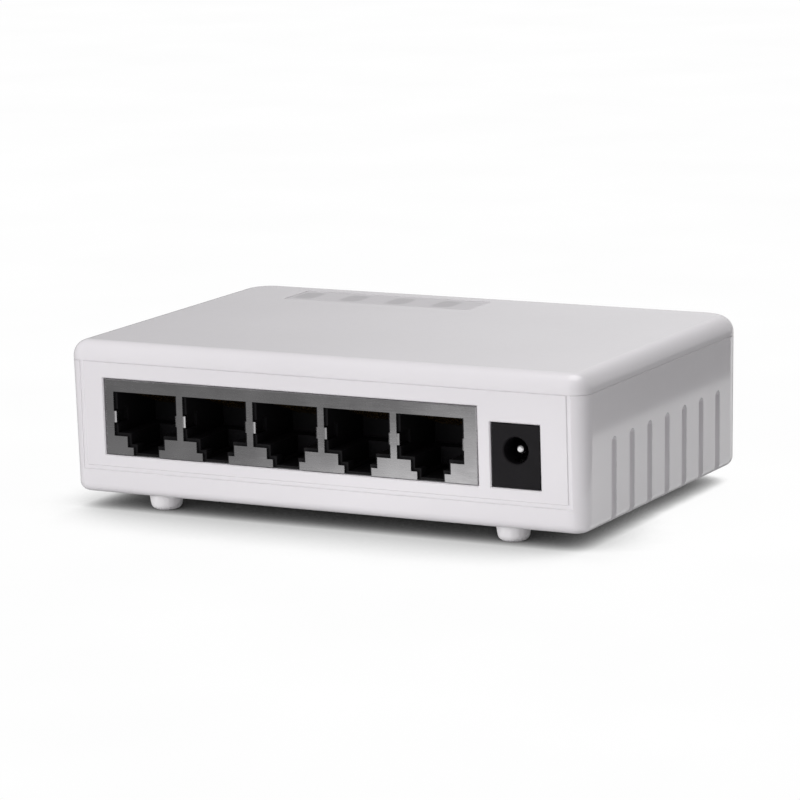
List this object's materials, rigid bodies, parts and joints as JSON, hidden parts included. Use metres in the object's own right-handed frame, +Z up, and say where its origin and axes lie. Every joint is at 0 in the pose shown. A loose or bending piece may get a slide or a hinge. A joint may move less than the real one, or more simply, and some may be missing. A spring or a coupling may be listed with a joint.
{
  "type": "desktop network switch",
  "caption": "Small desktop network switch: white two-shell case on round feet, row of shielded RJ45 sockets and a DC inlet on one long face.",
  "frame": {"origin": "on the table plane under the feet, at the middle of the case in plan", "axes": "+Z up, port face towards -Y, +X to the right of somebody facing the ports"},
  "size_m": [0.1002, 0.0672, 0.0299],
  "materials": {
    "case_white": "satin",
    "foot_white": "matte",
    "label_film": "satin",
    "screw_steel": "satin",
    "board_green": "satin",
    "shield_metal": "satin",
    "jack_black": "satin",
    "contact_gold": "polished",
    "tinned_metal": "satin",
    "chip_black": "matte",
    "can_metal": "satin",
    "ferrite_grey": "matte",
    "passive_tan": "matte",
    "led_body": "gloss",
    "guide_clear": "polished",
    "lens_smoke": "gloss"
  },
  "bodies": {
    "case": {"bottom_case": "case_white", "top_cover": "case_white", "rating_label": "label_film", "case_screws": "screw_steel", "board_screws": "screw_steel", "main_board": "board_green", "jack_shield": "shield_metal", "jack_housing": "jack_black", "contact_carriers": "jack_black", "contact_tails": "contact_gold", "dc_jack_housing": "jack_black", "dc_jack_pin": "tinned_metal", "dc_jack_terminal": "tinned_metal", "transformer_legs": "tinned_metal", "switch_chip": "chip_black", "chip_leads": "tinned_metal", "crystal": "can_metal", "capacitor_input": "can_metal", "capacitor_output": "can_metal", "inductor": "ferrite_grey", "regulator": "chip_black", "chip_passives": "passive_tan", "status_leds": "led_body", "light_guide": "guide_clear", "led_lens": "lens_smoke", "port_transformer_1": "chip_black", "port_transformer_2": "chip_black", "port_transformer_3": "chip_black", "port_transformer_4": "chip_black", "port_transformer_5": "chip_black", "foot_front_left": "foot_white", "foot_front_right": "foot_white", "foot_rear_left": "foot_white", "foot_rear_right": "foot_white"},
    "port_1_contacts": {"contact_springs_1": "contact_gold"},
    "port_2_contacts": {"contact_springs_2": "contact_gold"},
    "port_3_contacts": {"contact_springs_3": "contact_gold"},
    "port_4_contacts": {"contact_springs_4": "contact_gold"},
    "port_5_contacts": {"contact_springs_5": "contact_gold"},
    "inlet_leaf": {"dc_jack_leaf": "tinned_metal"}
  },
  "joints": [
    {"name": "port_1_flex", "type": "hinge", "parent": "case", "child": "port_1_contacts", "pos_m": [-0.03468, -0.03044, 0.02088], "axis": [1, 0, 0], "range_deg": [0, 10], "stiffness_Nm_per_rad": 0.3, "springref_deg": -2.86},
    {"name": "port_2_flex", "type": "hinge", "parent": "case", "child": "port_2_contacts", "pos_m": [-0.02071, -0.03044, 0.02088], "axis": [1, 0, 0], "range_deg": [0, 10], "stiffness_Nm_per_rad": 0.3, "springref_deg": -2.86},
    {"name": "port_3_flex", "type": "hinge", "parent": "case", "child": "port_3_contacts", "pos_m": [-0.00674, -0.03044, 0.02088], "axis": [1, 0, 0], "range_deg": [0, 10], "stiffness_Nm_per_rad": 0.3, "springref_deg": -2.86},
    {"name": "port_4_flex", "type": "hinge", "parent": "case", "child": "port_4_contacts", "pos_m": [0.00723, -0.03044, 0.02088], "axis": [1, 0, 0], "range_deg": [0, 10], "stiffness_Nm_per_rad": 0.3, "springref_deg": -2.86},
    {"name": "port_5_flex", "type": "hinge", "parent": "case", "child": "port_5_contacts", "pos_m": [0.0212, -0.03044, 0.02088], "axis": [1, 0, 0], "range_deg": [0, 10], "stiffness_Nm_per_rad": 0.3, "springref_deg": -2.86},
    {"name": "inlet_leaf_flex", "type": "hinge", "parent": "case", "child": "inlet_leaf", "pos_m": [0.0372, -0.0212, 0.0137], "axis": [1, 0, 0], "range_deg": [0, 3], "stiffness_Nm_per_rad": 0.2, "springref_deg": -1.15}
  ]
}
